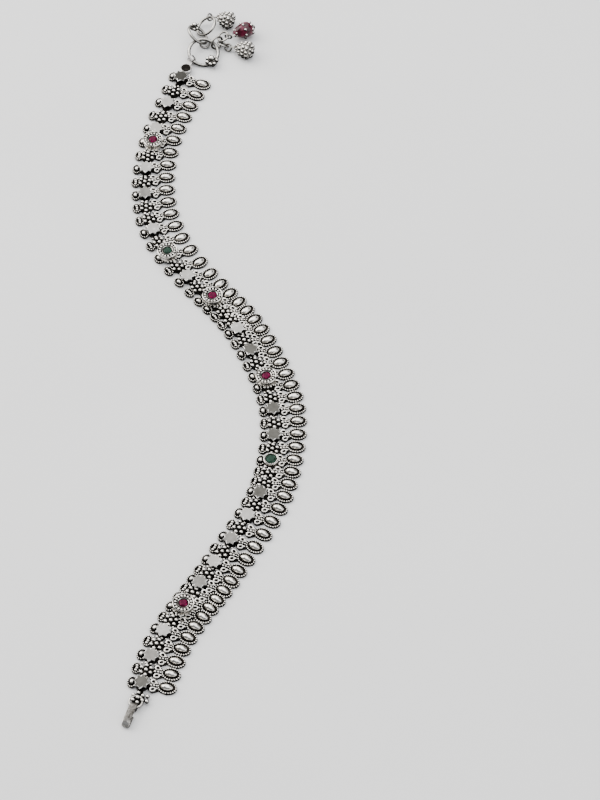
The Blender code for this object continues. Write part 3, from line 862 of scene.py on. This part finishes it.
# The tab's disc: its dish is painted black, painted shade.
TAB_DISC = [
    Turn(TAB_RADIUS - 0.12, TAB_UNDERSIDE, 0.2),
    Turn(TAB_RADIUS, TAB_UNDERSIDE + 0.12, 0.5),
    Turn(TAB_RADIUS, TAB_TOP - 0.1, 1.0),
    Turn(TAB_RADIUS - 0.14, TAB_TOP, 1.1),
    Turn(TAB_RADIUS - 0.3, TAB_TOP - 0.03, 0.05),
    Turn(TAB_RADIUS - 0.45, TAB_TOP - 0.12, 0.0),
]
TAB_NECK = [
    Level(0.96, TAB_UNDERSIDE + 0.05, 0.2),
    Level(1.0, TAB_UNDERSIDE + 0.12, 0.4),
    Level(1.0, TAB_TOP - 0.12, 0.8),
    Level(0.96, TAB_TOP - 0.05, 0.8),
]
# The eye's strip, out from its middle and across it, in halves of its thickness and width.
TAB_EYE_SECTION = [(-1.0, -0.9), (-0.5, -1.0), (1.0, -0.85), (1.0, 0.85), (-0.5, 1.0), (-1.0, 0.9)]

Ring = namedtuple("Ring", "name x y z tilt azimuth radius wire")
RINGS = [
    Ring("ring_a", -29.3, 116.2, 1.72, 15, 24, 4.45, 0.5),
    Ring("ring_b", -31.1, 122.3, 2.9, 39, 103.5, 3.4, 0.45),
    Ring("ring_c", -28.6, 126.3, 2.45, 35, 272.6, 3.2, 0.45),
    Ring("ring_inner", -29.0, 120.4, 1.25, 39.6, 1.3, 1.45, 0.3),
    Ring("ring_charm", -25.25, 119.55, 2.27, 104, 217.6, 1.95, 0.35),
]
Hung = namedtuple("Hung", "name parent angle swing radius wire")
HUNG = [
    Hung("ring_bell", "ring_charm", 215, -90, 1.7, 0.3),
    Hung("ring_red", "ring_charm", 160, 0, 1.7, 0.3),
    Hung("loop_lower", "ring_bell", 335, 40, 1.1, 0.27),
    Hung("loop_red", "ring_red", 55, 90, 1.0, 0.27),
    Hung("loop_upper", "ring_c", 155, -90, 1.05, 0.27),
]
HANG_GAP = 0.28
# A wire's shine at its lowest, on its underside where shade is painted, and how much it gains towards
# its top.
WIRE_PAINTED_SHADE_SHINE, WIRE_GAIN_OUT_OF_SHADE = 0.05, 0.6

# The granulated bead of a ring: a core, rings of granules and one big ball on top.
Bead = namedtuple("Bead", "angle radius lift")
BEADS = {"ring_a": Bead(-78, 1.8, 1.26), "ring_b": Bead(5, 1.4, 0.0)}
Tier = namedtuple("Tier", "level count size")
BEAD_TIERS = [Tier(-0.6, 5, 0.3), Tier(-0.05, 7, 0.36)]
BEAD_CORE, BEAD_REACH, BEAD_TURN_SPREAD, BEAD_TOP, BEAD_TOP_RISE = 0.7, 0.82, 0.1, 0.56, 0.5

# A charm's outline: share of the way from its start to its end, and radius.
BELL = [(0.0, 0.5), (0.12, 1.1), (0.4, 1.95), (0.75, 2.35), (0.92, 2.2), (1.0, 1.3)]
BERRY = [(0.0, 0.55), (0.15, 1.35), (0.4, 2.15), (0.65, 2.4), (0.85, 2.0), (1.0, 0.9)]
Band = namedtuple("Band", "share count radius")
BELL_BANDS = [
    Band(0.15, 7, 0.36),
    Band(0.36, 10, 0.48),
    Band(0.58, 11, 0.56),
    Band(0.8, 11, 0.58),
    Band(0.97, 8, 0.5),
]
BERRY_BANDS = [Band(0.1, 6, 0.3), Band(0.5, 8, 0.46), Band(0.88, 8, 0.48)]
BAND_TWIST = 3
CHARM_SIDES, CHARM_STEPS, CHARM_SHINE, CHARM_SHINE_GAIN = 28, 18, 0.5, 0.12
STEM = [Turn(0.34, 0.0, 0.7), Turn(0.3, 0.35, 0.7), Turn(0.42, 0.7, 0.7), Turn(0.5, 1.0, 0.7)]
STEM_INTO_BODY = 0.2
Charm = namedtuple("Charm", "name loop start end outline bands tip")
CHARMS = [
    Charm("bell_upper", "loop_upper", (-25.4, 130.1, 2.7), (-20.6, 128.1, 2.4), BELL, BELL_BANDS, 0.7),
    Charm("bead_red", "loop_red", (-20.3, 122.6, 2.9), (-14.4, 125.8, 2.45), BERRY, BERRY_BANDS, 0.75),
    Charm("bell_lower", "loop_lower", (-19.8, 117.9, 2.2), (-14.6, 115.9, 2.4), BELL, BELL_BANDS, 0.7),
]


class Hoop:
    """A round wire: its centre, two axes in its plane, its radius and its wire's radius."""

    def __init__(self, centre, level, rising, radius, wire):
        self.centre, self.level, self.rising = Vector(centre), level, rising
        self.radius, self.wire = radius, wire

    def outward(self, degrees):
        turn = math.radians(degrees)
        return self.level * math.cos(turn) + self.rising * math.sin(turn)

    def along(self, degrees):
        return self.outward(degrees + 90)

    def normal(self):
        return self.level.cross(self.rising)

    def point(self, degrees):
        return self.centre + self.outward(degrees) * self.radius

    def shape(self, segments=56, sides=12):
        path = [self.point(360 * i / segments) for i in range(segments)]
        made = tube(path, self.wire, self.normal(), sides)
        rise = made.points[:, 2] - np.repeat([p.z for p in path], sides)
        # Painted shade: darker on the wire's underside, lighter towards its top.
        return made._replace(shine=WIRE_PAINTED_SHADE_SHINE + WIRE_GAIN_OUT_OF_SHADE * ramp(rise / self.wire, -0.2, 0.85))


def ring_axes(tilt, azimuth):
    t, a = math.radians(tilt), math.radians(azimuth)
    level = Vector((math.cos(a), math.sin(a), 0))
    rising = Vector((-math.sin(a) * math.cos(t), math.cos(a) * math.cos(t), math.sin(t)))
    return level, rising


def all_hoops():
    """The rings where they lie, and each hung ring or loop in the ring that it hangs from."""
    hoops = {}
    for ring in RINGS:
        axes = ring_axes(ring.tilt, ring.azimuth)
        hoops[ring.name] = Hoop((ring.x, ring.y, ring.z), *axes, ring.radius, ring.wire)
    for hung in HUNG:
        parent = hoops[hung.parent]
        swing = math.radians(hung.swing)
        away = parent.outward(hung.angle) * math.cos(swing) + parent.normal() * math.sin(swing)
        reach = hung.radius - hung.wire - parent.wire - HANG_GAP
        centre = parent.point(hung.angle) + away * reach
        across = parent.along(hung.angle).cross(away)
        hoops[hung.name] = Hoop(centre, away, across, hung.radius, hung.wire)
    return hoops


def staple_hoop():
    return Hoop(STAPLE_CENTRE, *ring_axes(0, 0), STAPLE_RADIUS, STAPLE_WIRE)


def smooth_line(points, per_step=6):
    """Points along a curve through the given ones."""
    points = [Vector(p) for p in points]
    ends = [points[0] * 2 - points[1]] + points + [points[-1] * 2 - points[-2]]
    line = []
    for a, b, c, d in zip(ends, ends[1:], ends[2:], ends[3:]):
        for k in range(per_step):
            t = k / per_step
            curve = 2 * b + (c - a) * t + (2 * a - 5 * b + 4 * c - d) * t**2
            line.append(0.5 * (curve + (3 * b - a - 3 * c + d) * t**3))
    line.append(points[-1])
    return line


def strip_section(half_width, half_thick, corner):
    """The section of a flat strip with rounded edges."""
    section = []
    for side_u, side_v, start in ((1, 1, 0), (-1, 1, 90), (-1, -1, 180), (1, -1, 270)):
        for step in (0, 45, 90):
            a = math.radians(start + step)
            u = side_u * (half_width - corner) + corner * math.cos(a)
            v = side_v * (half_thick - corner) + corner * math.sin(a)
            section.append((u, v))
    return section


def hook_route(staple_z):
    """The strip's middle, away from the staple's wire and up: its eye, then its folded length."""
    line = []
    for k in range(EYE_STEPS + 1):
        turn = math.radians(EYE_FROM + (EYE_TO - EYE_FROM) * k / EYE_STEPS)
        line.append(Vector((-HOOK_EYE * math.cos(turn), HOOK_EYE * math.sin(turn))))
    return line + smooth_line([(away, z - staple_z) for away, z in HOOK_LINE])


def hook_shape():
    """A flat strip, its eye rolled round the staple and its end folded under."""
    wire = staple_hoop()
    centre, direction = wire.point(HOOK_ANGLE), wire.outward(HOOK_ANGLE)
    across = direction.cross(Vector((0, 0, 1)))
    section = strip_section(HOOK_WIDTH / 2, HOOK_THICK / 2, HOOK_CORNER)
    line = hook_route(centre.z)
    length = len(line) - EYE_STEPS
    rings, shine = [], []
    for i, point in enumerate(line):
        before, after = line[max(i - 1, 0)], line[min(i + 1, len(line) - 1)]
        run = (after - before).normalized()
        side = Vector((-run.y, run.x))
        ring = []
        for u, v in section:
            p = point + side * v
            ring.append(centre + direction * p.x + Vector((0, 0, p.y)) + across * u)
        rings.append(np.array(ring))
        from_knee = (max(i - EYE_STEPS, 0) / length - HOOK_KNEE) / HOOK_KNEE_SPREAD
        shine.append(HOOK_SHINE + (1 - HOOK_SHINE) * math.exp(-(from_knee**2)))
    return stack(rings, shine)


def tab_eye_shape(eye, axis):
    """The tab's eye, rolled round a ring's wire."""
    up = (Vector((0, 0, 1)) - axis * axis.z).normalized()
    across = axis.cross(up)
    rings = []
    for k in range(TAB_EYE_STEPS):
        turn = 2 * math.pi * k / TAB_EYE_STEPS
        out = across * math.cos(turn) + up * math.sin(turn)
        for r, w in TAB_EYE_SECTION:
            rings.append(eye + out * (TAB_EYE + TAB_EYE_HALF_THICK * r) + axis * TAB_NECK_HALF * w)
    faces = loop_faces(TAB_EYE_STEPS, len(TAB_EYE_SECTION))
    return Shape(np.array(rings), faces, np.full(len(rings), TAB_EYE_SHINE))


def tab_neck_shape(centre, eye):
    """The plate from the tab's disc to its eye."""
    toward = Vector((eye.x, eye.y, 0)) - centre
    reach = toward.length - TAB_EYE
    toward.normalize()
    side = toward.cross(Vector((0, 0, 1))) * TAB_NECK_HALF
    rings = []
    for level in TAB_NECK:
        up, k = Vector((0, 0, level.z)), level.share
        near, far = [centre + toward * s + up for s in (TAB_RADIUS - TAB_NECK_INSET, reach)]
        rings.append(np.array([near + side * k, far + side * k, far - side * k, near - side * k]))
    return stack(rings, [level.shine for level in TAB_NECK])


def turned_matrix(start, end):
    """Takes z from 0 to 1 to the line from start to end, without scaling across it."""
    line = Vector(end) - Vector(start)
    side = line.cross(Vector((0, 0, 1))).normalized()
    other = line.normalized().cross(side)
    m = Matrix.Identity(4)
    for k, axis in enumerate((side, other, line)):
        for row in range(3):
            m[row][k] = axis[row]
    return Matrix.Translation(start) @ m


def charm_body(charm):
    """A charm's turned body, a little brighter at its middle."""
    shares = [share for share, _ in charm.outline]
    radius = natural_spline(shares, [r for _, r in charm.outline])
    profile = []
    for share in np.linspace(0, 1, CHARM_STEPS):
        shine = CHARM_SHINE + CHARM_SHINE_GAIN * math.sin(math.pi * share)
        profile.append(Turn(radius(share), share, shine))
    return moved(revolve(profile, CHARM_SIDES), turned_matrix(charm.start, charm.end))


def charm_granules(charm):
    """Rings of granules round a charm's body, and a ball at its tip."""
    place = turned_matrix(charm.start, charm.end)
    shares, radii = zip(*charm.outline)
    shapes = []
    for band in charm.bands:
        reach = float(np.interp(band.share, shares, radii))
        for i in range(band.count):
            a = BAND_TWIST * band.share + 2 * math.pi * i / band.count
            p = place @ Vector((reach * math.cos(a), reach * math.sin(a), band.share))
            shapes.append(ball_at(BALL, *p, band.radius))
    return shapes + [ball_at(BALL, *charm.end, charm.tip)]


def stem_shape(charm, hoop):
    """The short stem between a charm's loop and its body."""
    start, end = Vector(charm.start), Vector(charm.end)
    toward = start - hoop.centre
    flat = (toward - hoop.normal() * toward.dot(hoop.normal())).normalized()
    root = hoop.centre + flat * hoop.radius
    inside = start + (end - start) * STEM_INTO_BODY
    return moved(revolve(STEM, 12), turned_matrix(root, inside))


def bead_shapes(centre, radius, rng):
    """A ring's granulated bead."""
    centre = Vector(centre)
    shapes = [ball_at(BALL, *centre, radius * BEAD_CORE)]
    for tier in BEAD_TIERS:
        reach = math.sqrt(1 - tier.level**2) * radius * BEAD_REACH
        z = tier.level * radius * BEAD_REACH
        for i in range(tier.count):
            a = 2 * math.pi * i / tier.count + rng.uniform(-BEAD_TURN_SPREAD, BEAD_TURN_SPREAD)
            p = centre + Vector((reach * math.cos(a), reach * math.sin(a), z))
            shapes.append(ball_at(BALL, *p, radius * tier.size))
    top = centre + Vector((0, 0, radius * BEAD_TOP_RISE))
    return shapes + [ball_at(BALL, *top, radius * BEAD_TOP)]


# Building


def half_of(link):
    return "lower" if link < FIRST_OF_UPPER else "upper"


def build_links(silver, mirror):
    rng = np.random.default_rng(SEED)
    parts = ("cups", "tops", "drops", "stars")
    piles = {(part, half): Pile(f"{part}_{half}") for half in ("lower", "upper") for part in parts}
    under_gems = links_under_gems()
    seat, petals, neck, drop = revolve(SEAT, SEAT_SIDES), petal_shapes(), neck_shapes(), drop_shapes()
    for link in range(LAST_LINK + 1):
        cups, tops, drops, stars = [piles[part, half_of(link)] for part in parts]
        place = link_frame(link)
        leans = np.radians(rng.uniform(-STAR_LEAN, STAR_LEAN, 2))
        is_star = link in STAR_LINKS
        is_flower = not is_star and link not in under_gems
        if is_flower:
            turn = FLOWER_TURN + rng.uniform(-FLOWER_TURN_SPREAD, FLOWER_TURN_SPREAD)
            tops.add_all(flower_shapes(turn), place)
        else:
            tops.add(seat, place)
        if is_star:
            stars.add_all(star_shapes(*leans, painted_star_reflection(link)), place)
        if link > 0:
            cups.add_all(cup_shapes(has_dome=not is_flower), place)
            tops.add_all(petals + neck, petals_frame(link))
            drops.add_all(drop, drop_frame(link))
        else:
            tops.add_all([ball_at(BALL, *ball) for ball in END_BALLS], petals_frame(link))
    for gem in GEMS:
        shapes = collar_shapes(gem.collar) + foot_shapes()
        piles["tops", half_of(gem.link)].add_all(shapes, gem_frame(gem))
    add_ties(piles)
    piles["tops", "lower"].add(staple_hoop().shape(40, 12))
    for (part, half), pile in piles.items():
        material = mirror if part == "stars" else silver
        pile.build(material, "silver", [f"band_{half}"])


def add_ties(piles):
    """The bars under the tops, from link to link."""
    meeting = FIRST_OF_UPPER - 0.5
    lower = [TIE_START] + list(range(FIRST_OF_UPPER)) + [meeting - TIE_HALF_GAP]
    upper = [meeting + TIE_HALF_GAP] + list(range(FIRST_OF_UPPER, LAST_LINK + 1)) + [TIE_END]
    for half, stops in (("lower", lower), ("upper", upper)):
        for first, last in zip(stops, stops[1:]):
            ends = [link_place(stop).translation for stop in (first, last)]
            side = (ends[1] - ends[0]).normalized().cross(Vector((0, 0, 1))) * TIE_HALF_WIDTH
            outline = [ends[0] - side, ends[0] + side, ends[1] + side, ends[1] - side]
            piles["tops", half].add(layers(np.array(outline), TIE_LEVELS))


def build_stones(materials):
    rng = np.random.default_rng(SEED + 1)
    for gem in GEMS:
        pile = Pile(f"{gem.name}_cut")
        pile.add(stone_shape(gem.collar, rng), gem_frame(gem))
        pile.build(materials[gem.stone], f"{gem.stone}_stone", [gem.name], sharp_angle=1)


def build_hook(silver):
    pile = Pile("hook_strip")
    pile.add(hook_shape())
    pile.build(silver, "silver", ["hook"])


def build_tab(hoop, dark):
    pile = Pile("end_tab_plate")
    centre = link_place(LAST_LINK).translation + heading(LAST_LINK) * TAB_AHEAD
    eye = hoop.point(TAB_ANGLE)
    pile.add(revolve(TAB_DISC, 40), Matrix.Translation(centre))
    pile.add(tab_eye_shape(eye, hoop.along(TAB_ANGLE).normalized()))
    pile.add(tab_neck_shape(centre, eye))
    pile.build(dark, "dark_silver", ["end_tab"])


def build_rings(hoops, silver):
    rng = np.random.default_rng(SEED + 2)
    for name, hoop in hoops.items():
        if not name.startswith("ring"):
            continue
        pile = Pile(f"{name}_wire")
        pile.add(hoop.shape())
        if name in BEADS:
            bead = BEADS[name]
            centre = hoop.point(bead.angle) + Vector((0, 0, bead.lift))
            pile.add_all(bead_shapes(centre, bead.radius, rng))
        pile.build(silver, "silver", [name])


def build_charms(hoops, silver, enamel):
    for charm in CHARMS:
        hoop = hoops[charm.loop]
        metal = Pile(f"{charm.name}_metal")
        metal.add_all([hoop.shape(36, 10), stem_shape(charm, hoop)])
        if charm.name == "bead_red":
            berry = Pile("bead_red_enamel")
            berry.add(charm_body(charm))
            berry.build(enamel, "red_enamel", ["bead_red"])
        else:
            metal.add(charm_body(charm))
        metal.add_all(charm_granules(charm))
        metal.build(silver, "silver", [charm.name])


# Floor, lights and camera

FLOOR_HALF = 3.0
Light = namedtuple("Light", "name place size energy colour")
LIGHTS = [
    Light("key", (-0.95, 0.5, 0.75), 1.4, 27.0, (1.0, 0.985, 0.96)),
    Light("back", (-0.05, 0.85, 1.1), 1.5, 17.0, (1.0, 1.0, 1.0)),
    Light("top", (0.3, -0.1, 1.5), 1.6, 17.0, (0.97, 0.98, 1.0)),
    Light("fill", (0.95, -0.4, 0.6), 1.1, 6.0, (0.95, 0.97, 1.0)),
]
WORLD_COLOUR, WORLD_STRENGTH = (0.8, 0.83, 0.88), 0.32


def build_floor():
    mesh = bpy.data.meshes.new("floor")
    corners = [(FLOOR_HALF * x, FLOOR_HALF * y, 0) for x, y in ((-1, -1), (1, -1), (1, 1), (-1, 1))]
    mesh.from_pydata(corners, [], [(0, 1, 2, 3)])
    mesh.materials.append(floor_material("pale_floor"))
    floor = bpy.data.objects.new("floor", mesh)
    bpy.context.scene.collection.objects.link(floor)


def build_lights():
    for spec in LIGHTS:
        data = bpy.data.lights.new(spec.name, "AREA")
        data.shape = "DISK"
        data.size = spec.size
        data.energy = spec.energy
        data.color = spec.colour
        light = bpy.data.objects.new(spec.name, data)
        bpy.context.scene.collection.objects.link(light)
        light.location = spec.place
        light.rotation_euler = (-Vector(spec.place)).to_track_quat("-Z", "Y").to_euler()
    world = bpy.data.worlds.new("studio")
    world.use_nodes = True
    background = world.node_tree.nodes["Background"]
    background.inputs["Color"].default_value = (*WORLD_COLOUR, 1.0)
    background.inputs["Strength"].default_value = WORLD_STRENGTH
    bpy.context.scene.world = world


def build_camera():
    data = bpy.data.cameras.new("camera")
    data.sensor_width = SENSOR
    data.lens = FOCAL_PIXELS * SENSOR / IMAGE_HEIGHT
    data.clip_start = 0.01
    camera = bpy.data.objects.new("camera", data)
    bpy.context.scene.collection.objects.link(camera)
    camera.location = Vector((OFFSET.x, OFFSET.y - CAMERA_BACK, CAMERA_HEIGHT)) * MM
    camera.rotation_euler = (math.radians(90 - CAMERA_DOWN), 0, 0)
    bpy.context.scene.camera = camera


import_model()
OFFSET = row_offset()

build_camera()
build_floor()
build_lights()

silver = silver_material("oxidised_silver")
mirror = star_material("star_silver")
plain = silver_material("plain_silver", oxide_gain=0.5)
# The tab's silver, painted darker as painted shade.
dark = silver_material("dark_silver", tint=SHADED_DARK_TINT, polish=0.3, oxide_gain=0.6)
stones = {kind: stone_material(f"{kind}_stone", tones) for kind, tones in STONE_TONES.items()}
enamel = enamel_material("red_enamel")

hoops = all_hoops()
build_links(silver, mirror)
build_stones(stones)
build_hook(plain)
build_tab(hoops["ring_a"], dark)
build_rings(hoops, plain)
build_charms(hoops, plain, enamel)
